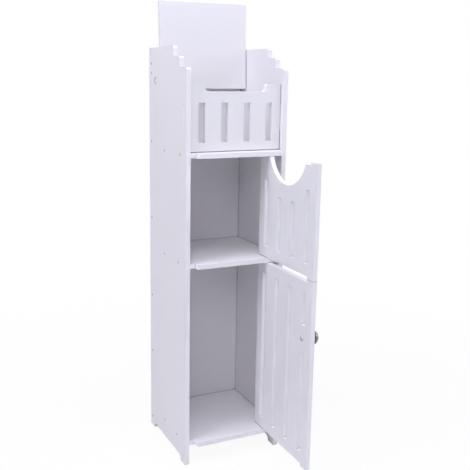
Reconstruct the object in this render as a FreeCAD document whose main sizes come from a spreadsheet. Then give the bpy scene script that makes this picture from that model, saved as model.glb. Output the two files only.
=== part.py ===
"""Slim free-standing bathroom cabinet of 9 mm boards, in millimetres.

It is shown as it stands in use: both doors open at a right angle and the lid of the top box upright.
The origin is on the floor, under the middle of the box that holds the cabinet and its open doors. +Z is
up and the front looks along -Y. Places below are measured from the centre of the carcass's footprint,
and each sub-part's own placement carries them to the origin.
"""
import FreeCAD, Part
import math
import os
import Sketcher
from FreeCAD import Vector

SIZES = {
    # Carcass
    "cabinet_height": 800,
    "cabinet_width": 206,
    "cabinet_depth": 192,
    "board": 9,
    # Side panels: two steps at the top front corner, two feet below
    "step_tread": 32,
    "lower_step_rise": 20.5,
    "upper_step_rise": 19,
    "step_nose_radius": 4.5,
    "front_foot_length": 22,
    "back_foot_length": 23,
    "arch_height": 10,
    "arch_corner_radius": 8,
    # Back panel, between the side panels
    "back_inset": 6,
    "back_panel_lift": 10,
    "back_panel_drop": 5,
    # Shelves, all to their undersides: the bottom one from the floor, the top one from the cabinet's top, the
    # middle one from the top one; and their lips in front of the side panels
    "bottom_shelf_height": 40,
    "middle_shelf_drop": 205,
    "top_shelf_drop": 199.5,
    "lip_reach": 13,
    "lip_left_notch": 10.6,
    "lip_right_notch": 6,
    "lip_corner_radius": 1.5,
    "bottom_lip_slant": 4.8,
    # Front fence of the top box, hung in the side panels by its tenons
    "fence_setback": 9.5,
    "fence_foot_gap": 1.5,
    "fence_end_gap": 1,
    "fence_notch_margin": 33,
    "fence_notch_depth": 13.2,
    "fence_notch_radius": 5,
    "fence_slot_foot": 16,
    "fence_slot_length": 71.5,
    "fence_slot_pitch": 45.7,
    "tenon_foot": 36,
    "tenon_length": 48,
    "tenon_clearance": 0.25,
    # Upright slots of the fence and the doors
    "slot_width": 13,
    # Lid, on two pins across the side panels
    "lid_axis_drop": 63,
    "lid_axis_to_back_panel": 20,
    "lid_tail": 15.5,
    "lid_reach": 151,
    "lid_side_clearance": 1,
    "lid_rest_gap": 0.3,
    "lid_lean_angle": 2.76,
    "lid_pin_head_radius": 6,
    "lid_pin_head_thickness": 3.9,
    "lid_pin_head_sink": 0.3,
    "lid_pin_head_gap": 1,
    "lid_pin_shoulder_play": 0.3,
    "lid_pin_radius": 3,
    "lid_pin_grip": 12,
    # Doors: in front of the side panels, between the lips of the shelves
    "door_width": 195.8,
    "door_hinge_overlap": 27,
    "door_side_clearance": 1.2,
    "door_face_gap": 0.5,
    "door_end_clearance": 0.7,
    "door_ear_length": 17.8,
    "door_ear_gap": 0.5,
    "door_slot_pitch": 47.7,
    "door_slot_foot": 21,
    "upper_door_outer_slot_top": 43.8,
    "upper_door_inner_slot_top": 71.8,
    "lower_door_slot_top": 21.5,
    "half_moon_radius": 65.8,
    "half_moon_rise": 21.1,
    # Door pins
    "door_pin_radius": 2.5,
    "door_pin_grip": 15,
    "door_pin_engagement": 4,
    "pin_fit": 0.05,
    "pin_end_gap": 0.3,
    # Knob, below the top of the lower door, and its screw
    "knob_drop": 106.8,
    "knob_from_free_edge": 27,
    "knob_slot_break": 52,
    "knob_base_radius": 7,
    "knob_base_thickness": 1.6,
    "knob_neck_radius": 5,
    "knob_neck_length": 6,
    "knob_head_radius": 12.7,
    "knob_head_height": 15.4,
    "knob_rim_height": 1.6,
    "knob_projection": 23.4,
    "knob_screw_radius": 2,
    "knob_screw_depth": 10,
    "knob_screw_end_gap": 1,
    "knob_screw_head_radius": 4,
    "knob_screw_head_thickness": 2.4,
    "knob_screw_head_chamfer": 1,
    # Countersunk screws of the carcass
    "screw_head_radius": 3.5,
    "screw_head_edge": 0.4,
    "screw_radius": 1.75,
    "screw_length": 30,
    "screw_fit": 0.05,
    "screw_end_gap": 0.5,
    "rear_screw_row": 110,
    "top_front_screw_row": 29.3,
    "middle_front_screw_row": 37.1,
    "bottom_front_screw_row": 42.2,
    # How far every cut runs past the faces that it opens
    "cut_overrun": 2,
}

# Heights of the back panel's screws, as shares of the cabinet's height
BACK_SCREW_SHARES = (0.025, 0.214, 0.369, 0.576, 0.771, 0.939, 0.962)

# Knob's neck flaring into its head, then the head's dome: shares of the flare's or the dome's
# length and of the way out to the head's rim
FLARE_SHARES = ((0.62, 0.2),)
DOME_SHARES = ((0.48, 0.79), (0.86, 0.44))
DOME_FACE_SHARE = 0.12

FULL_TURN = 360
COUNTERSINK_SLOPE = 45
SCREW_FLATS = 8
FENCE_SLOTS = 4
LEFT, RIGHT = -1, 1


class Measure:
    """A size worked out from the sheet: the expression that binds it and its present value."""

    def __init__(self, text, value):
        self.text = text
        self.value = value

    @staticmethod
    def of(thing):
        return thing if isinstance(thing, Measure) else Measure(str(thing), thing)

    def __add__(self, other):
        other = Measure.of(other)
        return Measure(f"({self.text} + {other.text})", self.value + other.value)

    def __sub__(self, other):
        other = Measure.of(other)
        return Measure(f"({self.text} - {other.text})", self.value - other.value)

    def __mul__(self, other):
        other = Measure.of(other)
        return Measure(f"{self.text} * {other.text}", self.value * other.value)

    def __truediv__(self, other):
        other = Measure.of(other)
        return Measure(f"{self.text} / ({other.text})", self.value / other.value)

    def __neg__(self):
        return self * -1


ZERO = Measure("0", 0)


def make_sheet(document):
    """Write every driving size into the spreadsheet and return them as measures."""
    sheet = document.addObject("Spreadsheet::Sheet", "Sizes")
    for row, (alias, number) in enumerate(SIZES.items(), start=1):
        sheet.set(f"A{row}", alias)
        sheet.set(f"B{row}", str(number))
        sheet.setAlias(f"B{row}", alias)
    document.recompute()
    return {alias: Measure(f"Sizes.{alias}", number) for alias, number in SIZES.items()}


def bind(thing, path, measure):
    thing.setExpression(path, Measure.of(measure).text)


def new_body(label, x=ZERO, y=ZERO, z=ZERO, turn_axis=None, turn_angle=ZERO):
    """Add a sub-part at a bound place from the footprint's centre, turned about one axis."""
    body = document.addObject("PartDesign::Body", label)
    body.Label = label
    body.AllowCompound = True
    if turn_axis:
        body.Placement = FreeCAD.Placement(Vector(), FreeCAD.Rotation(turn_axis, turn_angle.value))
        bind(body, "Placement.Rotation.Angle", turn_angle)
    for name, place in (("x", x), ("y", y - whole_middle_y), ("z", z)):
        bind(body, f"Placement.Base.{name}", place)
    return body


def origin_plane(body, role):
    return next(item for item in body.Origin.OriginFeatures if item.Role == role)


def new_sketch(body, role, lift=ZERO, across=ZERO, along=ZERO):
    """Add a sketch on one of the body's origin planes, lifted off it and shifted in it."""
    sketch = body.newObject("Sketcher::SketchObject", f"{body.Label}_sketch")
    sketch.AttachmentSupport = [(origin_plane(body, role), "")]
    sketch.MapMode = "FlatFace"
    bind(sketch, "AttachmentOffset.Base.x", across)
    bind(sketch, "AttachmentOffset.Base.y", along)
    bind(sketch, "AttachmentOffset.Base.z", lift)
    return sketch


def constrain(sketch, rules):
    """Fix coordinates of points, or radii, to measures: each rule is a kind, its place and a measure."""
    constraints = [Sketcher.Constraint(kind, *place, measure.value) for kind, place, measure in rules]
    for index, (_, _, measure) in zip(sketch.addConstraint(constraints), rules):
        bind(sketch, f"Constraints[{index}]", measure)


def sign(number):
    return (number > 0) - (number < 0)


def rounded(corners):
    """Turn each (x, y, radius) corner of an outline into two points joined by an arc."""
    points = []
    arcs = {}
    for index, corner in enumerate(corners):
        x, y = corner[:2]
        if len(corner) == 2:
            points.append((x, y))
            continue
        radius = corner[2]
        before = corners[index - 1]
        after = corners[(index + 1) % len(corners)]
        into = (sign(x.value - before[0].value), sign(y.value - before[1].value))
        out = (sign(after[0].value - x.value), sign(after[1].value - y.value))
        points.append((x - radius * into[0], y - radius * into[1]))
        arcs[len(points) - 1] = (radius, sign(into[0] * out[1] - into[1] * out[0]))
        points.append((x + radius * out[0], y + radius * out[1]))
    return points, arcs


def draw_arc(sketch, start, end, radius, side):
    """Add the lesser arc from start to end with its centre to the left (1) or right (-1) of the way."""
    chord = end - start
    middle = (start + end) * 0.5
    height = math.sqrt(max(radius ** 2 - (chord.Length / 2) ** 2, 0))
    centre = middle + Vector(-chord.y, chord.x, 0).normalize() * height * side
    circle = Part.Circle(centre, Vector(0, 0, 1), radius)
    first, last = (start, end) if side > 0 else (end, start)
    angles = [math.atan2(point.y - centre.y, point.x - centre.x) for point in (first, last)]
    return sketch.addGeometry(Part.ArcOfCircle(circle, *angles), False)


def draw_outline(sketch, points, arcs=None):
    """Close an outline through the points, whose coordinates are bound to the sheet.

    arcs maps the number of a point to the (radius, side) of the arc that leaves it.
    """
    arcs = arcs or {}
    places = [Vector(x.value, y.value, 0) for x, y in points]
    edges = []
    for index, start in enumerate(places):
        end = places[(index + 1) % len(places)]
        if index in arcs:
            radius, side = arcs[index]
            edge = draw_arc(sketch, start, end, radius.value, side)
            edges.append((edge, 1, 2) if side > 0 else (edge, 2, 1))
        else:
            edges.append((sketch.addGeometry(Part.LineSegment(start, end), False), 1, 2))
    joints = []
    rules = []
    for index, (edge, first, _) in enumerate(edges):
        previous, _, last = edges[index - 1]
        joints.append(Sketcher.Constraint("Coincident", previous, last, edge, first))
        rules.append(("DistanceX", (edge, first), points[index][0]))
        rules.append(("DistanceY", (edge, first), points[index][1]))
        if index in arcs:
            rules.append(("Radius", (edge,), arcs[index][0]))
    sketch.addConstraint(joints)
    constrain(sketch, rules)


def draw_circle(sketch, x, y, radius):
    circle = Part.Circle(Vector(x.value, y.value, 0), Vector(0, 0, 1), radius.value)
    edge = sketch.addGeometry(circle, False)
    constrain(sketch, [
        ("DistanceX", (edge, 3), x),
        ("DistanceY", (edge, 3), y),
        ("Radius", (edge,), radius),
    ])


def draw_flats(sketch, x, y, radius):
    """Draw a screw or its hole as an even ring of flats with its corners at the radius."""
    turns = [math.tau * index / SCREW_FLATS for index in range(SCREW_FLATS)]
    draw_outline(sketch, [(x + radius * math.cos(turn), y + radius * math.sin(turn)) for turn in turns])


def draw_slot(sketch, middle, low, high):
    """Draw an upright slot as the cutter leaves it, with square ends."""
    half = size["slot_width"] / 2
    left = middle - half
    right = middle + half
    draw_outline(sketch, [(left, low), (right, low), (right, high), (left, high)])


def pad(sketch, length, reverse=False, both_sides=False, taper=0):
    body = sketch.getParentGeoFeatureGroup()
    feature = body.newObject("PartDesign::Pad", f"{body.Label}_pad")
    feature.Profile = sketch
    bind(feature, "Length", length)
    feature.Reversed = reverse
    feature.Midplane = both_sides
    feature.TaperAngle = taper
    document.recompute()
    return feature


def pocket(sketch, length, reverse=False, both_sides=False, taper=0):
    """Cut the sketch into its body, and refuse a cut that removes nothing."""
    body = sketch.getParentGeoFeatureGroup()
    before = body.Shape.Volume
    feature = body.newObject("PartDesign::Pocket", f"{body.Label}_pocket")
    feature.Profile = sketch
    bind(feature, "Length", length)
    feature.Reversed = reverse
    feature.Midplane = both_sides
    feature.TaperAngle = taper
    document.recompute()
    if body.Shape.Volume >= before:
        raise ValueError(f"a pocket of {body.Label} cuts nothing")
    return feature


def revolve(sketch, axis):
    body = sketch.getParentGeoFeatureGroup()
    feature = body.newObject("PartDesign::Revolution", f"{body.Label}_turning")
    feature.Profile = sketch
    feature.ReferenceAxis = (sketch, [axis])
    feature.Angle = FULL_TURN
    document.recompute()
    return feature


def mirror(body, features):
    """Repeat features on the other side of the body's middle plane."""
    feature = body.newObject("PartDesign::Mirrored", f"{body.Label}_mirror")
    feature.Originals = features
    feature.MirrorPlane = (origin_plane(body, "YZ_Plane"), [""])
    body.Tip = feature
    document.recompute()
    return feature


document = FreeCAD.newDocument("BathroomCabinet")
size = make_sheet(document)

board = size["board"]
half_width = size["cabinet_width"] / 2
inner_half = half_width - board
front = -(size["cabinet_depth"] / 2)
rear = size["cabinet_depth"] / 2
back_panel_front = rear - size["back_inset"] - board
back_panel_middle = rear - size["back_inset"] - board / 2
overrun = size["cut_overrun"]
through_board = board + overrun * 2

screw_hole_radius = size["screw_radius"] + size["screw_fit"]
countersink_depth = size["screw_head_radius"] - size["screw_radius"]

lid_axis_height = size["cabinet_height"] - size["lid_axis_drop"]
lid_axis_y = back_panel_front - size["lid_axis_to_back_panel"]
lid_half_width = inner_half - size["lid_side_clearance"]
lid_pin_hole_radius = size["lid_pin_radius"] + size["pin_fit"]
lid_bore_depth = size["lid_pin_grip"] + size["pin_end_gap"]

top_shelf_height = size["cabinet_height"] - size["top_shelf_drop"]
middle_shelf_height = top_shelf_height - size["middle_shelf_drop"]
top_shelf_top = top_shelf_height + board
fence_middle_y = front + size["fence_setback"] + board / 2
fence_foot = top_shelf_top + size["fence_foot_gap"]
fence_height = lid_axis_height - board / 2 - size["lid_rest_gap"] - fence_foot
fence_half = inner_half - size["fence_end_gap"]

door_axis_x = inner_half - size["door_side_clearance"] - size["door_hinge_overlap"]
door_axis_y = front - size["door_face_gap"] - board / 2
door_near = -size["door_hinge_overlap"]
door_far = size["door_width"] - size["door_hinge_overlap"]
door_middle = size["door_width"] / 2 - size["door_hinge_overlap"]
door_ear_start = door_far - size["door_ear_length"]
door_ear_reach = size["door_end_clearance"] + board / 2 - size["door_ear_gap"] / 2
door_pin_hole_radius = size["door_pin_radius"] + size["pin_fit"]
door_bore_depth = size["door_pin_grip"] + size["pin_end_gap"]
lip_bore_depth = size["door_pin_engagement"] + size["pin_end_gap"]
upper_door_foot = middle_shelf_height + board + size["door_end_clearance"]
upper_door_height = top_shelf_height - size["door_end_clearance"] - upper_door_foot
lower_door_foot = size["bottom_shelf_height"] + board + size["door_end_clearance"]
lower_door_height = middle_shelf_height - size["door_end_clearance"] - lower_door_foot
knob_place = door_far - size["knob_from_free_edge"]
knob_height = lower_door_height - size["knob_drop"]

# Middle of the open cabinet from front to back: from the doors' free edges to the panels' rear edges
whole_middle_y = (door_axis_y - door_far + rear) / 2

# Each shelf's underside and its two rows of side screws, measured from the carcass's front
SHELVES = {
    "top_shelf": (top_shelf_height, size["top_front_screw_row"]),
    "middle_shelf": (middle_shelf_height, size["middle_front_screw_row"]),
    "bottom_shelf": (size["bottom_shelf_height"], size["bottom_front_screw_row"]),
}


def shelf_screw_rows(front_row):
    return (front + front_row, front + size["rear_screw_row"])


def shelf_screw_places():
    """List the (y, z) places of the screws that pass through a side panel into the shelves."""
    return [(y, underside + board / 2)
            for underside, front_row in SHELVES.values() for y in shelf_screw_rows(front_row)]


def back_screw_places():
    """List the (y, z) places of the screws that pass through a side panel into the back panel."""
    return [(back_panel_middle, size["cabinet_height"] * share) for share in BACK_SCREW_SHARES]


def make_side_panel(label, side):
    """Cut one side panel; its outer face lies in the body's YZ plane."""
    body = new_body(label, x=half_width * side)
    tread = size["step_tread"]
    nose = size["step_nose_radius"]
    height = size["cabinet_height"]
    upper_tread = height - size["upper_step_rise"]
    lower_tread = upper_tread - size["lower_step_rise"]
    arch = size["arch_height"]
    bend = size["arch_corner_radius"]
    sketch = new_sketch(body, "YZ_Plane")
    draw_outline(sketch, *rounded([
        (front, ZERO),
        (front + size["front_foot_length"], ZERO),
        (front + size["front_foot_length"], arch, bend),
        (rear - size["back_foot_length"], arch, bend),
        (rear - size["back_foot_length"], ZERO),
        (rear, ZERO),
        (rear, height),
        (front + tread * 2, height, nose),
        (front + tread * 2, upper_tread),
        (front + tread, upper_tread, nose),
        (front + tread, lower_tread),
        (front, lower_tread, nose),
    ]))
    inwards_is_back = side == RIGHT
    pad(sketch, board, reverse=inwards_is_back)

    for places in (shelf_screw_places(), back_screw_places()):
        holes = new_sketch(body, "YZ_Plane")
        sinks = new_sketch(body, "YZ_Plane")
        for y, z in places:
            draw_flats(holes, y, z, screw_hole_radius)
            draw_flats(sinks, y, z, size["screw_head_radius"])
        pocket(holes, board + overrun, reverse=not inwards_is_back)
        pocket(sinks, countersink_depth, reverse=not inwards_is_back, taper=-COUNTERSINK_SLOPE)

    mortise = new_sketch(body, "YZ_Plane")
    slack = size["tenon_clearance"]
    near = fence_middle_y - board / 2 - slack
    far = fence_middle_y + board / 2 + slack
    low = fence_foot + size["tenon_foot"]
    high = low + size["tenon_length"] + slack
    draw_outline(mortise, [(near, low), (far, low), (far, high), (near, high)])
    pocket(mortise, board + overrun, reverse=not inwards_is_back)

    pin_hole = new_sketch(body, "YZ_Plane")
    draw_circle(pin_hole, lid_axis_y, lid_axis_height, lid_pin_hole_radius)
    pocket(pin_hole, board + overrun, reverse=not inwards_is_back)

    recess = new_sketch(body, "YZ_Plane")
    recess_radius = size["lid_pin_head_radius"] + size["lid_pin_head_gap"]
    recess_depth = size["lid_pin_head_sink"] + size["lid_pin_head_thickness"] + size["lid_pin_shoulder_play"]
    draw_circle(recess, lid_axis_y, lid_axis_height, recess_radius)
    pocket(recess, recess_depth, reverse=not inwards_is_back)
    return body


def bore_for_screws(body, places):
    """Bore a board's left and right edges for the screws at the (y, z) places."""
    bores = new_sketch(body, "YZ_Plane", lift=inner_half)
    for y, z in places:
        draw_flats(bores, y, z, screw_hole_radius)
    mirror(body, [pocket(bores, size["screw_length"] - board + size["screw_end_gap"])])


def make_back_panel():
    lift = size["back_panel_lift"]
    body = new_body("back_panel", y=back_panel_middle, z=lift)
    height = size["cabinet_height"] - size["back_panel_drop"] - lift
    sketch = new_sketch(body, "XZ_Plane")
    draw_outline(sketch, [(-inner_half, ZERO), (inner_half, ZERO),
                          (inner_half, height), (-inner_half, height)])
    pad(sketch, board, both_sides=True)
    places = [(ZERO, z - lift) for _, z in back_screw_places()]
    bore_for_screws(body, places)
    return body


def make_shelf(label, slant=ZERO, bore_from_top=False, bore_from_below=False):
    """Cut one shelf with its front lip and the holes for the door pins."""
    underside, front_row = SHELVES[label]
    body = new_body(label, z=underside)
    lip_front = front - size["lip_reach"]
    lip_left = -inner_half + size["lip_left_notch"]
    lip_right = inner_half - size["lip_right_notch"]
    rounding = size["lip_corner_radius"]
    sketch = new_sketch(body, "XY_Plane")
    left_corner = (lip_left + slant, lip_front)
    if slant is ZERO:
        left_corner += (rounding,)
    draw_outline(sketch, *rounded([
        (lip_left, front),
        left_corner,
        (lip_right, lip_front, rounding),
        (lip_right, front),
        (inner_half, front),
        (inner_half, back_panel_front),
        (-inner_half, back_panel_front),
        (-inner_half, front),
    ]))
    pad(sketch, board)
    places = [(y, board / 2) for y in shelf_screw_rows(front_row)]
    bore_for_screws(body, places)
    hole = new_sketch(body, "XY_Plane", lift=ZERO if bore_from_below else board)
    draw_circle(hole, door_axis_x, door_axis_y, door_pin_hole_radius)
    goes_through = bore_from_below and bore_from_top
    pocket(hole, board + overrun if goes_through else lip_bore_depth, reverse=bore_from_below)
    return body


def make_front_fence():
    """Cut the fence with its notch, four slots and a tenon at each end."""
    body = new_body("front_fence", y=fence_middle_y, z=fence_foot)
    notch_half = inner_half - size["fence_notch_margin"]
    notch_floor = fence_height - size["fence_notch_depth"]
    bend = size["fence_notch_radius"]
    low = size["tenon_foot"]
    high = low + size["tenon_length"]
    sketch = new_sketch(body, "XZ_Plane")
    draw_outline(sketch, *rounded([
        (-fence_half, ZERO),
        (fence_half, ZERO),
        (fence_half, low),
        (half_width, low),
        (half_width, high),
        (fence_half, high),
        (fence_half, fence_height),
        (notch_half, fence_height, bend),
        (notch_half, notch_floor, bend),
        (-notch_half, notch_floor, bend),
        (-notch_half, fence_height, bend),
        (-fence_half, fence_height),
        (-fence_half, high),
        (-half_width, high),
        (-half_width, low),
        (-fence_half, low),
    ]))
    pad(sketch, board, both_sides=True)

    pitch = size["fence_slot_pitch"]
    foot = size["fence_slot_foot"]
    slot = new_sketch(body, "XZ_Plane")
    row_length = pitch * (FENCE_SLOTS - 1)
    draw_slot(slot, -(row_length / 2), foot, foot + size["fence_slot_length"])
    cut = pocket(slot, through_board, both_sides=True)
    row = body.newObject("PartDesign::LinearPattern", "front_fence_slots")
    row.Originals = [cut]
    row.Direction = (slot, ["H_Axis"])
    row.Occurrences = FENCE_SLOTS
    bind(row, "Length", row_length)
    body.Tip = row
    document.recompute()
    return body


def make_lid():
    """Cut the lid's board around its own axis, leaning back from upright."""
    body = new_body("lid", y=lid_axis_y, z=lid_axis_height,
                    turn_axis=Vector(1, 0, 0), turn_angle=-size["lid_lean_angle"])
    tail = -size["lid_tail"]
    reach = size["lid_reach"]
    sketch = new_sketch(body, "XZ_Plane")
    draw_outline(sketch, [(-lid_half_width, tail), (lid_half_width, tail),
                          (lid_half_width, reach), (-lid_half_width, reach)])
    pad(sketch, board, both_sides=True)
    bore = new_sketch(body, "YZ_Plane", lift=lid_half_width)
    draw_circle(bore, ZERO, ZERO, lid_pin_hole_radius)
    mirror(body, [pocket(bore, lid_bore_depth)])
    return body


def make_lid_pin(label, side):
    """Turn one headed pin: its head in the side panel's recess, its shank in the lid's edge."""
    body = new_body(label, x=half_width * side, y=lid_axis_y, z=lid_axis_height)
    inwards = -side
    head = size["lid_pin_head_sink"]
    shoulder = head + size["lid_pin_head_thickness"]
    end = board + size["lid_side_clearance"] + size["lid_pin_grip"]
    radius = size["lid_pin_radius"]
    head_radius = size["lid_pin_head_radius"]
    profile = [
        (head, ZERO),
        (head, head_radius),
        (shoulder, head_radius),
        (shoulder, radius),
        (end, radius),
        (end, ZERO),
    ]
    sketch = new_sketch(body, "XZ_Plane")
    draw_outline(sketch, [(along * inwards, out) for along, out in profile])
    revolve(sketch, "H_Axis")
    return body


def make_door(label, foot, height, slots):
    """Cut one door around its pivot: x runs to the free edge, y to the outer face, z up from its foot.

    slots lists the (middle, low, high) of each upright slot.
    """
    body = new_body(label, x=door_axis_x, y=door_axis_y, z=foot,
                    turn_axis=Vector(0, 0, -1), turn_angle=Measure.of(FULL_TURN) / 4)
    sketch = new_sketch(body, "XZ_Plane")
    draw_outline(sketch, [
        (door_near, ZERO),
        (door_ear_start, ZERO),
        (door_ear_start, -door_ear_reach),
        (door_far, -door_ear_reach),
        (door_far, height + door_ear_reach),
        (door_ear_start, height + door_ear_reach),
        (door_ear_start, height),
        (door_near, height),
    ])
    pad(sketch, board, both_sides=True)
    cuts = new_sketch(body, "XZ_Plane")
    for slot in slots:
        draw_slot(cuts, *slot)
    pocket(cuts, through_board, both_sides=True)
    bottom = new_sketch(body, "XY_Plane")
    draw_circle(bottom, ZERO, ZERO, door_pin_hole_radius)
    pocket(bottom, door_bore_depth, reverse=True)
    top = new_sketch(body, "XY_Plane", lift=height)
    draw_circle(top, ZERO, ZERO, door_pin_hole_radius)
    pocket(top, door_bore_depth)
    return body


def door_slot_middles():
    """List the four slots' middles from the hinge side to the free side."""
    pitch = size["door_slot_pitch"]
    outer = pitch + pitch / 2
    return [door_middle - outer, door_middle - pitch / 2, door_middle + pitch / 2, door_middle + outer]


def make_upper_door():
    low = size["door_slot_foot"]
    outer_top = upper_door_height - size["upper_door_outer_slot_top"]
    inner_top = upper_door_height - size["upper_door_inner_slot_top"]
    middles = door_slot_middles()
    tops = (outer_top, inner_top, inner_top, outer_top)
    slots = [(middle, low, top) for middle, top in zip(middles, tops)]
    body = make_door("upper_door", upper_door_foot, upper_door_height, slots)
    moon = new_sketch(body, "XZ_Plane")
    draw_circle(moon, door_middle, upper_door_height + size["half_moon_rise"], size["half_moon_radius"])
    pocket(moon, through_board, both_sides=True)
    return body


def make_lower_door():
    low = size["door_slot_foot"]
    high = lower_door_height - size["lower_door_slot_top"]
    middles = door_slot_middles()
    slots = [(middle, low, high) for middle in middles[:-1]]
    half_break = size["knob_slot_break"] / 2
    slots.append((middles[-1], low, knob_height - half_break))
    slots.append((middles[-1], knob_height + half_break, high))
    body = make_door("lower_door", lower_door_foot, lower_door_height, slots)
    hole = new_sketch(body, "XZ_Plane")
    draw_circle(hole, knob_place, knob_height, size["knob_screw_radius"] + size["pin_fit"])
    pocket(hole, through_board, both_sides=True)
    return body


def make_door_pin(label, edge_height, upwards):
    """Turn one pin that stands out of a door's edge into the lip of a shelf."""
    body = new_body(label, x=door_axis_x, y=door_axis_y, z=edge_height)
    radius = size["door_pin_radius"]
    inner = -size["door_pin_grip"]
    outer = size["door_end_clearance"] + size["door_pin_engagement"]
    profile = [(ZERO, inner), (radius, inner), (radius, outer), (ZERO, outer)]
    sketch = new_sketch(body, "XZ_Plane")
    draw_outline(sketch, [(out, along * upwards) for out, along in profile])
    revolve(sketch, "V_Axis")
    return body


def new_knob_body(label):
    """Add a sub-part in the lower door's frame, at the knob's place."""
    return new_body(label, x=door_axis_x + board / 2, y=door_axis_y - knob_place,
                    z=lower_door_foot + knob_height)


def make_knob():
    """Turn the knob: a base, a neck that flares into the head, and a domed face, bored for its screw."""
    body = new_knob_body("door_knob")
    neck_radius = size["knob_neck_radius"]
    head_radius = size["knob_head_radius"]
    neck_start = size["knob_base_thickness"]
    flare_start = neck_start + size["knob_neck_length"]
    dome_start = size["knob_head_height"]
    flare_length = dome_start - size["knob_rim_height"] - flare_start
    dome_length = size["knob_projection"] - dome_start
    bore = size["knob_screw_radius"] + size["pin_fit"]
    flare = [(flare_start + flare_length * along, neck_radius + (head_radius - neck_radius) * out)
             for along, out in FLARE_SHARES]
    dome = [(dome_start + dome_length * along, head_radius * out) for along, out in DOME_SHARES]
    sketch = new_sketch(body, "XZ_Plane")
    draw_outline(sketch, [
        (ZERO, bore),
        (ZERO, size["knob_base_radius"]),
        (neck_start, size["knob_base_radius"]),
        (neck_start, neck_radius),
        (flare_start, neck_radius),
        *flare,
        (flare_start + flare_length, head_radius),
        (dome_start, head_radius),
        *dome,
        (size["knob_projection"], head_radius * DOME_FACE_SHARE),
        (size["knob_projection"], ZERO),
        (size["knob_screw_depth"], ZERO),
        (size["knob_screw_depth"], bore),
    ])
    revolve(sketch, "H_Axis")
    return body


def make_knob_screw():
    """Turn the knob's screw: a low head on the door's inner face, its shank in the knob."""
    body = new_knob_body("knob_screw")
    face = -board
    head = face - size["knob_screw_head_thickness"]
    chamfer = size["knob_screw_head_chamfer"]
    head_radius = size["knob_screw_head_radius"]
    end = size["knob_screw_depth"] - size["knob_screw_end_gap"]
    sketch = new_sketch(body, "XZ_Plane")
    draw_outline(sketch, [
        (head, ZERO),
        (head, head_radius - chamfer),
        (head + chamfer, head_radius),
        (face, head_radius),
        (face, size["knob_screw_radius"]),
        (end, size["knob_screw_radius"]),
        (end, ZERO),
    ])
    revolve(sketch, "H_Axis")
    return body


def make_side_screws(label, places):
    """Make the countersunk screws at the (y, z) places of the left panel and mirror them to the right."""
    body = new_body(label)
    sink = size["screw_head_edge"] - size["screw_fit"]
    head_radius = size["screw_head_radius"] - size["screw_head_edge"]
    outer_face = sink - half_width
    heads = new_sketch(body, "YZ_Plane", lift=outer_face)
    shanks = new_sketch(body, "YZ_Plane", lift=outer_face)
    for y, z in places:
        draw_flats(heads, y, z, head_radius)
        draw_flats(shanks, y, z, size["screw_radius"])
    shank_pad = pad(shanks, size["screw_length"] - sink)
    head_pad = pad(heads, head_radius - size["screw_radius"], taper=-COUNTERSINK_SLOPE)
    mirror(body, [shank_pad, head_pad])
    return body


def make_cabinet():
    """Make every sub-part and return the bodies in the order in which the cabinet goes together."""
    bodies = [
        make_side_panel("left_side_panel", LEFT),
        make_side_panel("right_side_panel", RIGHT),
        make_back_panel(),
        make_shelf("top_shelf", bore_from_below=True),
        make_shelf("middle_shelf", bore_from_top=True, bore_from_below=True),
        make_shelf("bottom_shelf", slant=size["bottom_lip_slant"], bore_from_top=True),
        make_front_fence(),
        make_lid(),
        make_lid_pin("left_lid_pin", LEFT),
        make_lid_pin("right_lid_pin", RIGHT),
        make_upper_door(),
        make_lower_door(),
        make_door_pin("upper_door_top_pin", upper_door_foot + upper_door_height, 1),
        make_door_pin("upper_door_bottom_pin", upper_door_foot, -1),
        make_door_pin("lower_door_top_pin", lower_door_foot + lower_door_height, 1),
        make_door_pin("lower_door_bottom_pin", lower_door_foot, -1),
        make_knob(),
        make_knob_screw(),
    ]
    for shelf, (underside, front_row) in SHELVES.items():
        places = [(y, underside + board / 2) for y in shelf_screw_rows(front_row)]
        bodies.append(make_side_screws(f"{shelf}_screws", places))
    bodies.append(make_side_screws("back_panel_screws", back_screw_places()))
    return bodies


def check(bodies):
    """Refuse a document with a failed object or an unsound sub-part."""
    for item in document.Objects:
        if "Invalid" in item.State or "Error" in item.State:
            raise ValueError(f"{item.Label} is {item.State}")
    for body in bodies:
        if body.Shape.isNull() or not body.Shape.isValid() or not body.Shape.Solids:
            raise ValueError(f"{body.Label} has no sound shape")


cabinet = make_cabinet()
document.recompute()
check(cabinet)
os.makedirs("parts", exist_ok=True)
for sub_part in cabinet:
    sub_part.Shape.exportStep(f"parts/{sub_part.Label}.step")
    box = sub_part.Shape.BoundBox
    print(f"{sub_part.Label}: {len(sub_part.Shape.Solids)} solids, x {box.XMin:.1f} to {box.XMax:.1f}, "
          f"y {box.YMin:.1f} to {box.YMax:.1f}, z {box.ZMin:.1f} to {box.ZMax:.1f}")
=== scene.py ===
"""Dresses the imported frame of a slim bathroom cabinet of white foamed-plastic board.

The boards keep the shapes that the frame gives them and get their satin skins and sawn edges. The knob,
its screw, the lid's pins and the carcass's screws are modelled anew, with the turned curves and the
driving recesses of the real ones. A pale studio and a camera at the photograph's angle show the cabinet.
"""
import logging
import math
from dataclasses import dataclass, field
from enum import Enum
from typing import Any

import bpy
from mathutils import Matrix, Vector


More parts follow.
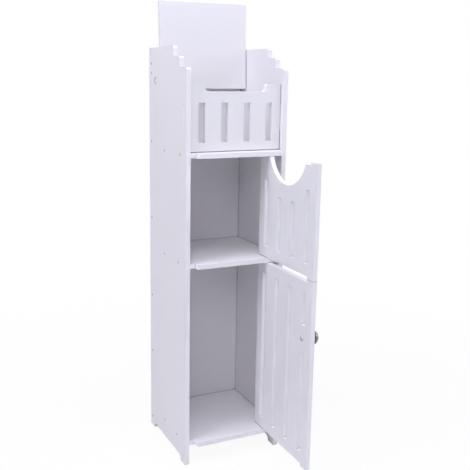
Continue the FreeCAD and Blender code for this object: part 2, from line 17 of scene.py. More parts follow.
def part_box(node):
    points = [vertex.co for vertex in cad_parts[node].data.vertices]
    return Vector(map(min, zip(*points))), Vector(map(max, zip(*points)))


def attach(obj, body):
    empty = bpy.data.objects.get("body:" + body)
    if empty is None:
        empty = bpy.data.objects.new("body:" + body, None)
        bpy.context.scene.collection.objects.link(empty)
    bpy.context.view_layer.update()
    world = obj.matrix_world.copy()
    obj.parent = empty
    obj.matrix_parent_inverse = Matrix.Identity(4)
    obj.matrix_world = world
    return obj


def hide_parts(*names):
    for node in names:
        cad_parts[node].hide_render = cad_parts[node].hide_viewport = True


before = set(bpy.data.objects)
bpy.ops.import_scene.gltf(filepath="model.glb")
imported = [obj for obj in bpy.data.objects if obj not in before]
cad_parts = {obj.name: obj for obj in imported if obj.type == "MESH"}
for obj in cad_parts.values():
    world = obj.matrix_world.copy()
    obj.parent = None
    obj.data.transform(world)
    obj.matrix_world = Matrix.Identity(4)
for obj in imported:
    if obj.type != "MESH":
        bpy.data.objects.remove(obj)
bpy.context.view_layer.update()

log = logging.getLogger("bathroom_cabinet")

MM = 0.001

# Places nearer to each other than this count as one
SAME_MM = 0.01
# Points nearer to each other than this are merged
MERGE_MM = 0.002

# Shade is painted into a seam where the faces lie nearer to each other than this
SEAM_REACH_MM = 4
# The colour of the painted seam shade where it is darkest
SEAM_SHADE_COLOUR = "#646265"
# The shares of open sky at which the painted seam shade is at its darkest, and at which a face has its full
# colour
SEAM_DARKEST = 0.15
SEAM_ENDS = 0.8
# How many rays feel for a seam's painted shade and for an eased edge
SEAM_RAYS = 8
EDGE_RAYS = 6

WHITE = "#FFFFFF"

# The lamps look at the cabinet's middle, this high above the floor in metres
MIDDLE_HEIGHT = 0.45


class Part(Enum):
    """The bodies of the frame that new pieces ride on."""

    CARCASS = "carcass"
    LID = "lid"
    LOWER_DOOR = "lower_door"


class Slot(Enum):
    """The names of the record's material slots for the new pieces."""

    PIN = "white_pin_plastic"
    KNOB = "knob_chrome"
    STEEL = "screw_steel"


class Through(Enum):
    """The direction through a board's thickness, as the number of its coordinate."""

    X = 0
    Y = 1
    Z = 2


# Colours and nodes


def linear(hex_colour: str) -> tuple[float, float, float, float]:
    """Turn an sRGB hex colour into the linear one that a shader takes.

    Args:
        hex_colour: Six hex digits after a number sign.

    Returns:
        Red, green, blue and an alpha of 1.
    """
    values = [int(hex_colour[place:place + 2], 16) / 255 for place in (1, 3, 5)]
    red, green, blue = (v / 12.92 if v <= 0.04045 else ((v + 0.055) / 1.055) ** 2.4 for v in values)
    return red, green, blue, 1.0


def add_node(tree: bpy.types.NodeTree, kind: str, settings: dict[str, Any] | None = None,
             inputs: dict[str | int, Any] | None = None) -> bpy.types.Node:
    """Add a node, set it up and join it to what feeds it.

    Args:
        tree: The node tree that takes the node.
        kind: The node's class name.
        settings: Values of the node's own properties, by name.
        inputs: A value, or the output that feeds it, for each input by name or number.

    Returns:
        The new node.
    """
    node = tree.nodes.new(kind)
    for name, value in (settings or {}).items():
        setattr(node, name, value)
    for key, value in (inputs or {}).items():
        if isinstance(value, bpy.types.NodeSocket):
            tree.links.new(value, node.inputs[key])
        else:
            node.inputs[key].default_value = value
    return node


def new_material(name: str) -> tuple[bpy.types.Material, bpy.types.NodeTree, bpy.types.Node]:
    """Make an empty node material.

    Args:
        name: The material's name.

    Returns:
        The material, its tree and its output node.
    """
    material = bpy.data.materials.new(name)
    material.use_nodes = True
    tree = material.node_tree
    tree.nodes.clear()
    return material, tree, add_node(tree, "ShaderNodeOutputMaterial")


def grain(tree: bpy.types.NodeTree, size_mm: float, detail: float,
          stretch: tuple[float, float, float] = (1, 1, 1), rough: float = 0.5) -> bpy.types.NodeSocket:
    """Add a noise whose lumps have a real size, on the piece's own coordinates.

    Args:
        tree: The node tree.
        size_mm: The distance from lump to lump, in millimetres.
        detail: How many finer layers lie on it.
        stretch: How many times finer it is along each axis.
        rough: How strong the finer layers are.

    Returns:
        The noise's value.
    """
    coordinates = add_node(tree, "ShaderNodeTexCoord").outputs["Object"]
    scaled = add_node(tree, "ShaderNodeMapping", inputs={"Vector": coordinates, "Scale": stretch})
    noise = add_node(tree, "ShaderNodeTexNoise", inputs={
        "Vector": scaled.outputs[0], "Scale": 1 / (size_mm * MM), "Detail": detail, "Roughness": rough})
    return noise.outputs["Fac"]


def blend(tree: bpy.types.NodeTree, factor: bpy.types.NodeSocket, first: Any,
          second: Any) -> bpy.types.NodeSocket:
    """Mix two colours.

    Args:
        tree: The node tree.
        factor: The share of the second colour, from 0 to 1.
        first: A colour or the output that gives it.
        second: The other one.

    Returns:
        The mixed colour.
    """
    # A Mix node has sockets for values and vectors too, and these are its colours
    first_input, second_input, result = 6, 7, 2
    mix = add_node(tree, "ShaderNodeMix", {"data_type": "RGBA"},
                   {"Factor": factor, first_input: first, second_input: second})
    return mix.outputs[result]


def paint_seam_shade(tree: bpy.types.NodeTree, colour: bpy.types.NodeSocket) -> bpy.types.NodeSocket:
    """Paint shade into a colour in the narrow seams between two pieces, where little light reaches the faces.

    Args:
        tree: The node tree.
        colour: The colour of the open faces.

    Returns:
        The colour, with painted shade where another face is near.
    """
    nearness = add_node(tree, "ShaderNodeAmbientOcclusion", {"samples": SEAM_RAYS},
                        {"Distance": SEAM_REACH_MM * MM})
    openness = add_node(tree, "ShaderNodeMapRange", inputs={
        "Value": nearness.outputs["AO"], "From Min": SEAM_DARKEST, "From Max": SEAM_ENDS}).outputs[0]
    return blend(tree, openness, linear(SEAM_SHADE_COLOUR), colour)


# Finishes


@dataclass(frozen=True)
class FoamedBoard:
    """Foamed PVC board, extruded with satin skins, sawn to shape and lightly sanded.

    The skin is even and softly glossy, with a faint pebble from the rollers. A cut edge shows the foam's
    fine cells: it is a little whiter, and duller. The arrises are eased by the sanding.
    """

    skin: str = "#E9E7E8"
    skin_shade: str = "#E6E4E5"
    cut: str = "#F1EFF0"
    cut_shade: str = "#EAE8E9"
    skin_roughness: float = 0.42
    cut_roughness: float = 0.62
    ior: float = 1.53
    # A face is a skin where its normal lies at least this much along the way through the sheet
    skin_normal: float = 0.7
    # Slow change of tone across a sheet
    tone_mm: float = 90
    # The real pebble is about 0.3 mm; it is drawn coarser so that it shows
    pebble_mm: float = 1.4
    pebble_depth_mm: float = 0.012
    pebble_strength: float = 0.5
    # The real cells are about 0.1 mm; they are drawn coarser so that they show
    cell_mm: float = 0.8
    cell_depth_mm: float = 0.03
    cell_strength: float = 0.6
    # The cells differ in size, so their finer layers are strong
    cell_layers: float = 0.7
    eased_mm: float = 0.7

    def make(self, through: Through) -> bpy.types.Material:
        """Make the board's material for sheets that lie across one direction.

        Args:
            through: The direction through the sheet, which tells skins from cut edges.

        Returns:
            The material.
        """
        material, tree, output = new_material(f"foamed_pvc_satin_{through.name.lower()}")
        normal = add_node(tree, "ShaderNodeTexCoord").outputs["Normal"]
        parts = add_node(tree, "ShaderNodeSeparateXYZ", inputs={0: normal})
        size = add_node(tree, "ShaderNodeMath", {"operation": "ABSOLUTE"}, {0: parts.outputs[through.value]})
        is_cut = add_node(tree, "ShaderNodeMath", {"operation": "LESS_THAN"},
                          {0: size.outputs[0], 1: self.skin_normal}).outputs[0]

        tone = grain(tree, self.tone_mm, detail=3)
        pebble = grain(tree, self.pebble_mm, detail=2)
        cells = grain(tree, self.cell_mm, detail=4, rough=self.cell_layers)
        skin = blend(tree, tone, linear(self.skin_shade), linear(self.skin))
        cut = blend(tree, cells, linear(self.cut_shade), linear(self.cut))
        # The seams between boards get painted shade
        colour = paint_seam_shade(tree, blend(tree, is_cut, skin, cut))
        roughness = add_node(tree, "ShaderNodeMapRange", inputs={
            "Value": is_cut, "To Min": self.skin_roughness, "To Max": self.cut_roughness}).outputs[0]

        eased = add_node(tree, "ShaderNodeBevel", {"samples": EDGE_RAYS},
                         {"Radius": self.eased_mm * MM}).outputs[0]
        pebbled = add_node(tree, "ShaderNodeBump", inputs={
            "Strength": self.pebble_strength, "Distance": self.pebble_depth_mm * MM,
            "Height": pebble, "Normal": eased}).outputs[0]
        cut_height = add_node(tree, "ShaderNodeMath", {"operation": "MULTIPLY"},
                              {0: cells, 1: is_cut}).outputs[0]
        bump = add_node(tree, "ShaderNodeBump", inputs={
            "Strength": self.cell_strength, "Distance": self.cell_depth_mm * MM,
            "Height": cut_height, "Normal": pebbled}).outputs[0]
        shader = add_node(tree, "ShaderNodeBsdfPrincipled", inputs={
            "Base Color": colour, "Roughness": roughness, "IOR": self.ior, "Normal": bump})
        tree.links.new(shader.outputs[0], output.inputs["Surface"])
        return material


@dataclass(frozen=True)
class MouldedPin:
    """Acetal pins, injection moulded and white: an even, waxy satin with the mould's faint texture."""

    colour: str = "#ECEAEB"
    shade: str = "#E5E3E4"
    roughness: float = 0.34
    ior: float = 1.48
    texture_mm: float = 0.7
    texture_depth_mm: float = 0.006
    texture_strength: float = 0.5

    def make(self) -> bpy.types.Material:
        """Make the pins' material.

        Returns:
            The material.
        """
        material, tree, output = new_material("moulded_white_acetal")
        texture = grain(tree, self.texture_mm, detail=3)
        # The pin gets painted shade where it sits close in its recess and against the panel
        colour = paint_seam_shade(tree, blend(tree, texture, linear(self.shade), linear(self.colour)))
        bump = add_node(tree, "ShaderNodeBump", inputs={
            "Strength": self.texture_strength, "Distance": self.texture_depth_mm * MM, "Height": texture})
        shader = add_node(tree, "ShaderNodeBsdfPrincipled", inputs={
            "Base Color": colour, "Roughness": self.roughness, "IOR": self.ior, "Normal": bump.outputs[0]})
        tree.links.new(shader.outputs[0], output.inputs["Surface"])
        return material


@dataclass(frozen=True)
class PlatedMetal:
    """Plated metal: polished smooth under the plating, with a faint change of sheen from handling."""

    name: str
    colour: str
    roughness: float
    wear_roughness: float
    wear_mm: float = 6
    # The noise's values between which the sheen goes from fresh to handled
    wear_starts: float = 0.35
    wear_ends: float = 0.7
    # Turning marks run round the axis: they are this far apart, and this many times as long
    turning_mm: float = 0.35
    turning_length: float = 20
    turning_depth_mm: float = 0.002
    turning_strength: float = 0.4

    def make(self) -> bpy.types.Material:
        """Make the metal's material, for a piece that is turned about the X axis.

        Returns:
            The material.
        """
        material, tree, output = new_material(self.name)
        wear = grain(tree, self.wear_mm, detail=4)
        roughness = add_node(tree, "ShaderNodeMapRange", inputs={
            "Value": wear, "From Min": self.wear_starts, "From Max": self.wear_ends,
            "To Min": self.roughness, "To Max": self.wear_roughness})
        turning = grain(tree, self.turning_mm * self.turning_length, detail=1,
                        stretch=(self.turning_length, 1, 1))
        bump = add_node(tree, "ShaderNodeBump", inputs={
            "Strength": self.turning_strength, "Distance": self.turning_depth_mm * MM, "Height": turning})
        shader = add_node(tree, "ShaderNodeBsdfPrincipled", inputs={
            "Base Color": linear(self.colour), "Metallic": 1.0, "Roughness": roughness.outputs[0],
            "Normal": bump.outputs[0]})
        tree.links.new(shader.outputs[0], output.inputs["Surface"])
        return material


# Chrome over a zinc casting: a dark, slightly soft mirror that is bright only where it meets a lamp
KNOB_CHROME = PlatedMetal("chromed_zinc", "#8C8C90", roughness=0.2, wear_roughness=0.3)
# Bright zinc over steel: paler and duller than chrome, so a screw's head reads as an even grey spot
ZINC_STEEL = PlatedMetal("zinc_plated_steel", "#B4B5B9", roughness=0.34, wear_roughness=0.46)


# Modelling


def select_only(piece: bpy.types.Object | None = None) -> None:
    """Deselect everything, then select one piece and make it active.

    Args:
        piece: The piece, or None for nothing selected.
    """
    if bpy.context.mode != "OBJECT":
        bpy.ops.object.mode_set(mode="OBJECT")
    bpy.ops.object.select_all(action="DESELECT")
    if piece:
        piece.select_set(True)
        bpy.context.view_layer.objects.active = piece


def settle(piece: bpy.types.Object, smooth_angle: float = 35) -> None:
    """Put a finished piece's place into its mesh, close its seams and shade it smooth.

    Args:
        piece: The piece.
        smooth_angle: The angle between two faces, in degrees, up to which their edge is smooth.
    """
    select_only(piece)
    bpy.ops.object.transform_apply(location=True, rotation=True, scale=True)
    bpy.ops.object.mode_set(mode="EDIT")
    bpy.ops.mesh.select_all(action="SELECT")
    bpy.ops.mesh.remove_doubles(threshold=MERGE_MM * MM)
    bpy.ops.mesh.normals_make_consistent(inside=False)
    bpy.ops.object.mode_set(mode="OBJECT")
    bpy.ops.object.shade_smooth_by_angle(angle=math.radians(smooth_angle))


def turn_on_lathe(name: str, profile: list[tuple[float, float]], sides: int = 48) -> bpy.types.Object:
    """Turn a closed solid about the X axis, ring by ring.

    Args:
        name: The piece's name.
        profile: The (along the axis, radius) of each ring, in millimetres, from end to end.
        sides: The number of flats in a ring.

    Returns:
        The solid, with flat ends.
    """
    select_only()
    start, radius = profile[0]
    bpy.ops.mesh.primitive_circle_add(vertices=sides, radius=radius * MM, fill_type="NGON",
                                      location=(start * MM, 0, 0), rotation=(0, math.pi / 2, 0))
    piece = bpy.context.object
    piece.name = name
    bpy.ops.object.transform_apply(location=True, rotation=True, scale=True)
    bpy.ops.object.mode_set(mode="EDIT")
    bpy.ops.mesh.select_all(action="SELECT")
    for along, next_radius in profile[1:]:
        bpy.ops.mesh.extrude_region_move(TRANSFORM_OT_translate={"value": ((along - start) * MM, 0, 0)})
        share = next_radius / radius
        bpy.ops.transform.resize(value=(1, share, share), center_override=(along * MM, 0, 0))
        start, radius = along, next_radius
    bpy.ops.object.mode_set(mode="OBJECT")
    return piece


def arc(centre: tuple[float, float], radius: float, from_degrees: float, to_degrees: float,
        steps: int) -> list[tuple[float, float]]:
    """List the points of an arc of a profile.

    Args:
        centre: The arc's centre, as (along the axis, radius), in millimetres.
        radius: The arc's radius.
        from_degrees: Where it starts, counted from the axis's direction outwards.
        to_degrees: Where it ends.
        steps: The number of straight runs in it.

    Returns:
        The points, with both ends.
    """
    angles = [math.radians(from_degrees + (to_degrees - from_degrees) * i / steps) for i in range(steps + 1)]
    return [(centre[0] + radius * math.cos(a), centre[1] + radius * math.sin(a)) for a in angles]


def soften(piece: bpy.types.Object, width: float, segments: int, angle: float) -> None:
    """Round a piece's edges with an applied bevel.

    Args:
        piece: The piece.
        width: The bevel's width, in millimetres.
        segments: The bevel's number of facets.
        angle: The least angle of an edge that is rounded, in degrees.
    """
    select_only(piece)
    modifier = piece.modifiers.new("eased", "BEVEL")
    modifier.width = width * MM
    modifier.segments = segments
    modifier.limit_method = "ANGLE"
    modifier.angle_limit = math.radians(angle)
    bpy.ops.object.modifier_apply(modifier=modifier.name)


@dataclass(frozen=True)
class CrossRecess:
    """The tapered cross in a screw's head that takes the driver, in millimetres."""

    # From tip to tip of two arms
    span: float
    arm_width: float
    depth: float
    # What is left of an arm's length and width at the bottom of the recess
    length_left: float = 0.35
    width_left: float = 0.8
    # The cutter stands out of the head's face by this much
    proud: float = 1

    def cut(self, screw: bpy.types.Object) -> None:
        """Cut the recess into the head of a screw that runs along +X from the origin.

        Args:
            screw: The screw.
        """
        for turn in (0, math.pi / 2):
            cutter = self.make_cutter(turn)
            select_only(screw)
            modifier = screw.modifiers.new("recess", "BOOLEAN")
            modifier.operation = "DIFFERENCE"
            modifier.solver = "EXACT"
            modifier.object = cutter
            bpy.ops.object.modifier_apply(modifier=modifier.name)
            bpy.data.objects.remove(cutter, do_unlink=True)

    def make_cutter(self, turn: float) -> bpy.types.Object:
        """Model two opposite arms of the cross, which narrow towards the bottom of the recess.

        Args:
            turn: How far the arms are turned about the screw, in radians.

        Returns:
            The solid that cuts them.
        """
        select_only()
        middle = (self.depth - self.proud) / 2
        bpy.ops.mesh.primitive_cube_add(size=MM, location=(middle * MM, 0, 0),
                                        scale=(self.depth + self.proud, self.span, self.arm_width))
        cutter = bpy.context.object
        bpy.ops.object.transform_apply(location=True, rotation=True, scale=True)
        for corner in cutter.data.vertices:
            corner.select = abs(corner.co.x / MM - self.depth) < SAME_MM
        bpy.ops.object.mode_set(mode="EDIT")
        bpy.ops.mesh.select_mode(type="VERT")
        bpy.ops.transform.resize(value=(1, self.length_left, self.width_left),
                                 center_override=(self.depth * MM, 0, 0))
        bpy.ops.mesh.select_all(action="SELECT")
        bpy.ops.transform.rotate(value=turn, orient_axis="X", center_override=(0, 0, 0))
        bpy.ops.mesh.normals_make_consistent(inside=False)
        bpy.ops.object.mode_set(mode="OBJECT")
        return cutter


def place_copies(master: bpy.types.Object, name: str, places: list[Matrix]) -> bpy.types.Object:
    """Copy a piece to several places, each with its own mesh, and join them into one object.

    Args:
        master: The piece at the origin, which is removed.
        name: The joined object's name.
        places: Where each copy goes.

    Returns:
        The joined object.
    """
    copies = []
    for place in places:
        copy = master.copy()
        copy.data = master.data.copy()
        copy.data.transform(place)
        bpy.context.collection.objects.link(copy)
        copies.append(copy)
    bpy.data.objects.remove(master, do_unlink=True)
    select_only(copies[0])
    for copy in copies:
        copy.select_set(True)
    bpy.ops.object.join()
    joined = bpy.context.object
    joined.name = name
    return joined


def stand_in(piece: bpy.types.Object, part: Part, slot: Slot, material: bpy.types.Material,
             *nodes: str) -> None:
    """Dress a new piece and let it stand for nodes of the frame.

    Args:
        piece: The new piece.
        part: The body that it rides on.
        slot: The record's slot for its finish; not used.
        material: Its material.
        nodes: The nodes that it replaces.
    """
    piece.data.materials.clear()
    piece.data.materials.append(material)
    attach(piece, part.value)
    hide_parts(*nodes)
    log.info("%s stands for %s on %s: %d faces", piece.name, ", ".join(nodes), part.value,
             len(piece.data.polygons))


def dress(node: str, material: bpy.types.Material) -> None:
    """Give a node of the frame its material.

    Args:
        node: The node's name.
        material: Its material.
    """
    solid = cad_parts[node]
    for slot in solid.material_slots:
        slot.material = material
    log.info("%s keeps its solid and gets %s", node, material.name)


def centre_of(node: str) -> Vector:
    """Give the middle of a node's box at rest."""
    low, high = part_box(node)
    return (Vector(low) + Vector(high)) / 2


# The cabinet


@dataclass
class Boards:
    """All the boards: the carcass, the fence, the lid and the two doors."""

    finish: FoamedBoard = field(default_factory=FoamedBoard)
    sheets: dict[Through, tuple[str, ...]] = field(default_factory=lambda: {
        Through.X: ("left_side_panel", "right_side_panel", "upper_door", "lower_door"),
        Through.Y: ("back_panel", "front_fence", "lid"),
        Through.Z: ("top_shelf", "middle_shelf", "bottom_shelf"),
    })

    def build(self) -> None:
        """Dress every board with the material for its own direction."""
        for through, nodes in self.sheets.items():
            material = self.finish.make(through)
            for node in nodes:
                dress(node, material)


@dataclass
class Pins:
    """The doors' plain pins and the lid's headed pins. All sizes are in millimetres."""

    finish: MouldedPin = field(default_factory=MouldedPin)
    head_radius: float = 6
    head_thickness: float = 3.9
    crown: float = 0.5
    crown_steps: int = 5
    # The crown starts this many degrees off the axis, from a small flat at its middle
    crown_flat: float = 1.2
    shank_radius: float = 3
    length: float = 21.7
    end_chamfer: float = 0.8
    # Edges of more than this angle, in degrees, are rounded: the head's, and not the chamfered end's
    rounded_angle: float = 50
    rounding: float = 0.8
    rounding_steps: int = 3
    door_pins: tuple[str, ...] = ("upper_door_top_pin", "upper_door_bottom_pin",
                                  "lower_door_top_pin", "lower_door_bottom_pin")

    def build(self) -> None:
        """Dress the doors' pins and model the lid's."""
        material = self.finish.make()
        for node in self.door_pins:
            dress(node, material)
        for node, inwards in (("left_lid_pin", 1), ("right_lid_pin", -1)):
            self.build_lid_pin(node, inwards, material)

    def build_lid_pin(self, node: str, inwards: int, material: bpy.types.Material) -> None:
        """Model one headed pin with a low crowned head and a chamfered end.

        Args:
            node: The node that it stands for.
            inwards: 1 if the pin runs towards +X from its head, or -1.
            material: Its material.
        """
        radius = self.head_radius
        crown_radius = (radius ** 2 + self.crown ** 2) / (2 * self.crown)
        rim = math.degrees(math.asin(radius / crown_radius))
        crown = arc((crown_radius, 0), crown_radius, 180 - self.crown_flat, 180 - rim, self.crown_steps)
        profile = [
            *crown,
            (self.head_thickness, radius),
            (self.head_thickness, self.shank_radius),
            (self.length - self.end_chamfer, self.shank_radius),
            (self.length, self.shank_radius - self.end_chamfer),
        ]
        pin = turn_on_lathe(f"{node}_moulded", profile)
        soften(pin, self.rounding, self.rounding_steps, self.rounded_angle)
        low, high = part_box(node)
        face = low[0] if inwards > 0 else high[0]
        place = Matrix.Translation((face, *centre_of(node).yz))
        if inwards < 0:
            place = place @ Matrix.Rotation(math.pi, 4, "Z")
        pin = place_copies(pin, pin.name, [place])
        settle(pin)
        stand_in(pin, Part.LID, Slot.PIN, material, node)


@dataclass
class Knob:
    """The lower door's knob and the screw that holds it from the inner face. All sizes are in millimetres."""

    sides: int = 64
    base_radius: float = 7
    base_thickness: float = 1.6
    # The base's edge at the door is chamfered, and its front edge falls back over a short slope
    base_chamfer: float = 0.3
    slope_length: float = 0.5
    slope_fall: float = 0.6
    # The neck leaves the base through a small fillet that ends this far along
    neck_fillet: float = 0.2
    neck_fillet_end: float = 0.8
    neck_radius: float = 5
    neck_length: float = 6
    # The higher the power, the later the neck flares out
    flare_power: float = 2.6
    flare_steps: int = 8
    head_radius: float = 12.7
    head_height: float = 15.4
    rim: float = 1.6
    rim_crest: float = 0.4
    projection: float = 23.4
    # The dome runs from this share of its edge's angle to this many degrees off the axis
    dome_share: float = 0.985
    dome_flat: float = 1.5
    dome_steps: int = 12
    smooth_angle: float = 30
    bore_radius: float = 2.05
    bore_depth: float = 10
    screw_head_radius: float = 4
    screw_head_thickness: float = 2.4
    # The pan head's rounding: how far along the axis, and how far inside the head's radius
    pan_rounding: tuple[tuple[float, float], ...] = (
        (0, 1.5), (0.18, 0.95), (0.6, 0.42), (1.2, 0.1), (1.8, 0))
    screw_recess: CrossRecess = CrossRecess(span=3.9, arm_width=0.9, depth=1.5)
    screw_radius: float = 2
    # How far the screw reaches past the door, into the knob
    screw_length: float = 9
    door_thickness: float = 9

    def build(self, chrome: bpy.types.Material, steel: bpy.types.Material) -> None:
        """Model the knob and its screw at their nodes' places.

        Args:
            chrome: The knob's material.
            steel: The screw's material.
        """
        self.build_knob(chrome)
        self.build_screw(steel)

    def build_knob(self, material: bpy.types.Material) -> None:
        """Turn the knob: a round base, a neck that flares into the head, a soft rim and a domed face.

        Args:
            material: The knob's material.
        """
        flare_start = self.base_thickness + self.neck_length
        flare_end = self.head_height - self.rim
        dome_rise = self.projection - self.head_height
        dome_radius = (self.head_radius ** 2 + dome_rise ** 2) / (2 * dome_rise)
        dome_centre = self.projection - dome_radius
        edge = math.degrees(math.asin(self.head_radius / dome_radius))
        flare = [(flare_start + (flare_end - flare_start) * share,
                  self.neck_radius + (self.head_radius - self.neck_radius) * share ** self.flare_power)
                 for share in (step / self.flare_steps for step in range(1, self.flare_steps + 1))]
        profile = [
            (0, self.base_radius - self.base_chamfer),
            (self.base_chamfer, self.base_radius),
            (self.base_thickness - self.slope_length, self.base_radius),
            (self.base_thickness, self.base_radius - self.slope_fall),
            (self.base_thickness + self.neck_fillet, self.neck_radius + self.neck_fillet),
            (self.base_thickness + self.neck_fillet_end, self.neck_radius),
            (flare_start, self.neck_radius),
            *flare,
            (self.head_height - self.rim_crest, self.head_radius),
            *arc((dome_centre, 0), dome_radius, edge * self.dome_share, self.dome_flat, self.dome_steps),
        ]
        knob = turn_on_lathe("door_knob_turned", profile, self.sides)
        self.bore(knob)
        place = Matrix.Translation((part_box("door_knob")[0][0], *centre_of("door_knob").yz))
        knob = place_copies(knob, knob.name, [place])
        settle(knob, self.smooth_angle)
        stand_in(knob, Part.LOWER_DOOR, Slot.KNOB, material, "door_knob")

    def bore(self, knob: bpy.types.Object) -> None:
        """Bore the knob's base for its screw: the end face is inset and pushed in.

        Args:
            knob: The turned knob, with its base at the origin.
        """
        select_only(knob)
        bpy.ops.object.mode_set(mode="EDIT")
        bpy.ops.mesh.select_mode(type="FACE")
        bpy.ops.mesh.select_all(action="DESELECT")
        bpy.ops.object.mode_set(mode="OBJECT")
        for face in knob.data.polygons:
            face.select = abs(face.center.x) < SAME_MM * MM
        bpy.ops.object.mode_set(mode="EDIT")
        wall = self.base_radius - self.base_chamfer - self.bore_radius
        bpy.ops.mesh.inset(thickness=wall * MM, use_even_offset=True)
        bpy.ops.mesh.extrude_region_move(TRANSFORM_OT_translate={"value": (self.bore_depth * MM, 0, 0)})
        bpy.ops.object.mode_set(mode="OBJECT")

    def build_screw(self, material: bpy.types.Material) -> None:
        """Turn the knob's screw: a pan head with a cross recess on the inner face, and its shank.

        Args:
            material: The screw's material.
        """
        face = self.screw_head_thickness
        radius = self.screw_head_radius
        profile = [
            *((along, radius - inside) for along, inside in self.pan_rounding),
            (face, radius),
            (face, self.screw_radius),
            (face + self.door_thickness + self.screw_length, self.screw_radius),
        ]
        screw = turn_on_lathe("knob_screw_turned", profile)
        self.screw_recess.cut(screw)
        place = Matrix.Translation((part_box("knob_screw")[0][0], *centre_of("knob_screw").yz))
        screw = place_copies(screw, screw.name, [place])
        settle(screw)
        stand_in(screw, Part.LOWER_DOOR, Slot.STEEL, material, "knob_screw")


@dataclass
class CarcassScrews:
    """The countersunk screws through the side panels into the shelves and the back panel, in millimetres."""

    sides: int = 32
    head_radius: float = 3.1
    # The head's face is a little smaller than its rim
    face_inset: float = 0.15
    rim: float = 0.1
    recess: CrossRecess = CrossRecess(span=3.5, arm_width=0.8, depth=1.2)
    shank_radius: float = 1.75
    length: float = 29.6
    tip: float = 3
    tip_radius: float = 0.15
    # A node's points this near to the panel's face belong to its screws' heads
    face_depth: float = 0.2
    # Two such points that are nearer to each other than this belong to one head
    head_reach: float = 8
    nodes: tuple[str, ...] = ("top_shelf_screws", "middle_shelf_screws", "bottom_shelf_screws",
                              "back_panel_screws")

    def build(self, steel: bpy.types.Material) -> None:
        """Model one screw and copy it to every screw of the nodes.

        Args:
            steel: The screws' material.
        """
        for node in self.nodes:
            screws = place_copies(self.turn_screw(), f"{node}_turned", self.find_places(node))
            settle(screws)
            stand_in(screws, Part.CARCASS, Slot.STEEL, steel, node)

    def turn_screw(self) -> bpy.types.Object:
        """Turn one countersunk screw with a cross recess.

        Returns:
            The screw, with its face at the origin and its shank along +X.
        """
        cone = self.head_radius - self.shank_radius
        profile = [
            (0, self.head_radius - self.face_inset),
            (self.rim, self.head_radius),
            (self.rim + cone, self.shank_radius),
            (self.length - self.tip, self.shank_radius),
            (self.length, self.tip_radius),
        ]
        screw = turn_on_lathe("carcass_screw", profile, self.sides)
        self.recess.cut(screw)
        return screw

    def find_places(self, node: str) -> list[Matrix]:
        """Find a node's screws by their heads and give the place of each.

        Args:
            node: A node that holds several screws.

        Returns:
            One place for each screw, turned to run inwards from its head.
        """
        low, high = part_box(node)
        places = []
        for face, inwards in ((low[0], 1), (high[0], -1)):
            heads: list[list[Vector]] = []
            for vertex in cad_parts[node].data.vertices:
                if abs(vertex.co.x - face) > self.face_depth * MM:
                    continue
                for head in heads:
                    if (head[0] - vertex.co).length < self.head_reach * MM:
                        head.append(vertex.co.copy())
                        break
                else:
                    heads.append([vertex.co.copy()])
            for head in heads:
                ys = [point.y for point in head]
                zs = [point.z for point in head]
                middle = (face, (min(ys) + max(ys)) / 2, (min(zs) + max(zs)) / 2)
                turn = Matrix.Rotation(0 if inwards > 0 else math.pi, 4, "Z")
                places.append(Matrix.Translation(middle) @ turn)
        return places


# The studio and the camera


@dataclass(frozen=True)
class Lamp:
    """A soft square lamp that looks at the cabinet's middle from a place around it, in metres."""

    name: str
    place: tuple[float, float, float]
    width: float
    watts: float
    tint: str = "#F0F1FF"


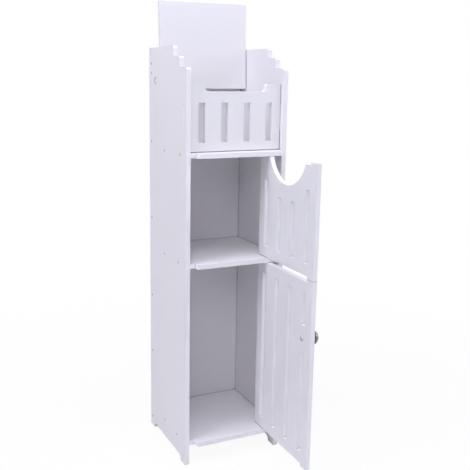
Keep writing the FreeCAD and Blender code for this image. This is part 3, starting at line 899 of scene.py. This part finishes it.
@dataclass
class Studio:
    """A pale floor in a white surround, lit by large soft lamps.

    The camera, mirrors and glass see a white surround. What lights the cabinet is kept at the level at
    which its colours render as they are written.
    """

    middle: Vector
    surround_light: float = 0.04
    surround_tint: str = "#FFFCF8"
    floor_colour: str = "#F4F4F6"
    floor_shade: str = "#F1F1F3"
    floor_mottle_mm: float = 40
    floor_reach: float = 4.0
    floor_sides: int = 96
    # The share of white near the cabinet, and the distances in metres over which the floor goes all white
    floor_white: float = 0.93
    fade_starts: float = 0.35
    fade_ends: float = 1.3
    lamps: tuple[Lamp, ...] = (
        Lamp("front_lamp", (-1.3, -2.4, 2.2), width=1.6, watts=27),
        Lamp("left_lamp", (-1.5, -0.3, 2.0), width=0.9, watts=27),
        Lamp("top_lamp", (0.0, -0.8, 2.8), width=1.6, watts=36),
        Lamp("right_lamp", (2.2, -1.6, 1.6), width=1.6, watts=27),
        Lamp("rear_lamp", (0.5, 2.4, 1.5), width=1.6, watts=24),
    )

    def build(self) -> None:
        """Make the surround, the floor and the lamps."""
        bpy.context.scene.view_settings.view_transform = "Standard"
        self.build_surround()
        self.build_floor()
        for lamp in self.lamps:
            self.build_lamp(lamp)
        log.info("studio: a surround, a floor and %d lamps", len(self.lamps))

    @staticmethod
    def seen_as_white(tree: bpy.types.NodeTree) -> bpy.types.NodeSocket:
        """Tell the rays that look at the surround from those that light the cabinet.

        Args:
            tree: The node tree.

        Returns:
            A value of 1 for the camera's, mirrors' and glass's rays, and 0 for the others.
        """
        rays = add_node(tree, "ShaderNodeLightPath")
        seen = add_node(tree, "ShaderNodeMath", {"operation": "MAXIMUM"},
                        {0: rays.outputs["Is Camera Ray"], 1: rays.outputs["Is Glossy Ray"]})
        return add_node(tree, "ShaderNodeMath", {"operation": "MAXIMUM"},
                        {0: seen.outputs[0], 1: rays.outputs["Is Transmission Ray"]}).outputs[0]

    def build_surround(self) -> None:
        """Make the world: white to look at, and softer as a light."""
        world = bpy.data.worlds.new("white_surround")
        world.use_nodes = True
        tree = world.node_tree
        tree.nodes.clear()
        light = add_node(tree, "ShaderNodeBackground", inputs={
            "Color": linear(self.surround_tint), "Strength": self.surround_light})
        white = add_node(tree, "ShaderNodeBackground", inputs={"Color": linear(WHITE), "Strength": 1.0})
        mix = add_node(tree, "ShaderNodeMixShader", inputs={
            0: self.seen_as_white(tree), 1: light.outputs[0], 2: white.outputs[0]})
        output = add_node(tree, "ShaderNodeOutputWorld")
        tree.links.new(mix.outputs[0], output.inputs["Surface"])
        bpy.context.scene.world = world

    def build_floor(self) -> None:
        """Lay a round pale floor that keeps a faint shadow and fades into the white surround."""
        select_only()
        bpy.ops.mesh.primitive_circle_add(vertices=self.floor_sides, radius=self.floor_reach,
                                          fill_type="NGON", location=(self.middle.x, self.middle.y, 0))
        floor = bpy.context.object
        floor.name = "studio_floor"
        material, tree, output = new_material("matt_pale_floor")
        position = add_node(tree, "ShaderNodeTexCoord").outputs["Object"]
        distance = add_node(tree, "ShaderNodeVectorMath", {"operation": "LENGTH"},
                            {0: position}).outputs["Value"]
        fade = add_node(tree, "ShaderNodeMapRange", inputs={
            "Value": distance, "From Min": self.fade_starts, "From Max": self.fade_ends,
            "To Min": self.floor_white, "To Max": 1.0})
        share = add_node(tree, "ShaderNodeMath", {"operation": "MULTIPLY"},
                         {0: self.seen_as_white(tree), 1: fade.outputs[0]}).outputs[0]
        mottle = grain(tree, self.floor_mottle_mm, detail=3)
        tone = blend(tree, mottle, linear(self.floor_shade), linear(self.floor_colour))
        matt = add_node(tree, "ShaderNodeBsdfDiffuse", inputs={"Color": tone})
        white = add_node(tree, "ShaderNodeEmission", inputs={"Color": linear(WHITE), "Strength": 1.0})
        mix = add_node(tree, "ShaderNodeMixShader", inputs={
            0: share, 1: matt.outputs[0], 2: white.outputs[0]})
        tree.links.new(mix.outputs[0], output.inputs["Surface"])
        floor.data.materials.append(material)

    def build_lamp(self, lamp: Lamp) -> None:
        """Hang one soft lamp and aim it at the cabinet's middle.

        Args:
            lamp: The lamp.
        """
        data = bpy.data.lights.new(lamp.name, "AREA")
        data.shape = "SQUARE"
        data.size = lamp.width
        data.energy = lamp.watts
        data.color = linear(lamp.tint)[:3]
        lamp_object = bpy.data.objects.new(lamp.name, data)
        bpy.context.collection.objects.link(lamp_object)
        lamp_object.location = Vector((self.middle.x, self.middle.y, 0)) + Vector(lamp.place)
        aim = self.middle - lamp_object.location
        lamp_object.rotation_euler = aim.to_track_quat("-Z", "Y").to_euler()


@dataclass
class PhotographCamera:
    """The camera of the photograph, measured from the centre of the carcass's footprint.

    Lengths are in metres and angles in radians. The frame, the focal length and the place where the
    lens's axis meets the picture are in the photograph's pixels, and the sensor is in millimetres.
    """

    footprint: Vector
    place: tuple[float, float, float] = (-0.59115, -1.26903, 0.74376)
    yaw: float = 0.4212
    pitch: float = -0.1957
    roll: float = 0.0093
    focal_pixels: float = 711.16
    axis_pixels: tuple[float, float] = (204.55, 218.37)
    frame_pixels: float = 470
    sensor: float = 36
    reach: float = 50

    def build(self) -> None:
        """Set up the camera and make it the scene's."""
        data = bpy.data.cameras.new("photograph_camera")
        data.sensor_width = self.sensor
        data.lens = self.focal_pixels / self.frame_pixels * self.sensor
        data.shift_x = (self.frame_pixels / 2 - self.axis_pixels[0]) / self.frame_pixels
        data.shift_y = (self.axis_pixels[1] - self.frame_pixels / 2) / self.frame_pixels
        data.clip_end = self.reach
        camera = bpy.data.objects.new("photograph_camera", data)
        bpy.context.collection.objects.link(camera)
        level = Vector((math.cos(self.yaw), -math.sin(self.yaw), 0))
        ahead = Vector((math.sin(self.yaw) * math.cos(self.pitch), math.cos(self.yaw) * math.cos(self.pitch),
                        math.sin(self.pitch)))
        upright = level.cross(ahead)
        right = math.cos(self.roll) * level + math.sin(self.roll) * upright
        up = -math.sin(self.roll) * level + math.cos(self.roll) * upright
        axes = Matrix((right, up, -ahead)).transposed().to_4x4()
        camera.matrix_world = Matrix.Translation(self.footprint + Vector(self.place)) @ axes
        bpy.context.scene.camera = camera
        log.info("camera at %s, lens %.2f mm", tuple(round(v, 3) for v in camera.location), data.lens)


def main() -> None:
    """Build the cabinet's looks, the studio and the camera."""
    logging.basicConfig(level=logging.INFO, format="%(name)s: %(message)s")
    PhotographCamera(Vector((0, centre_of("left_side_panel").y, 0))).build()
    Boards().build()
    Pins().build()
    steel = ZINC_STEEL.make()
    Knob().build(KNOB_CHROME.make(), steel)
    CarcassScrews().build(steel)
    Studio(Vector((0, 0, MIDDLE_HEIGHT))).build()


if __name__ == "__main__":
    main()
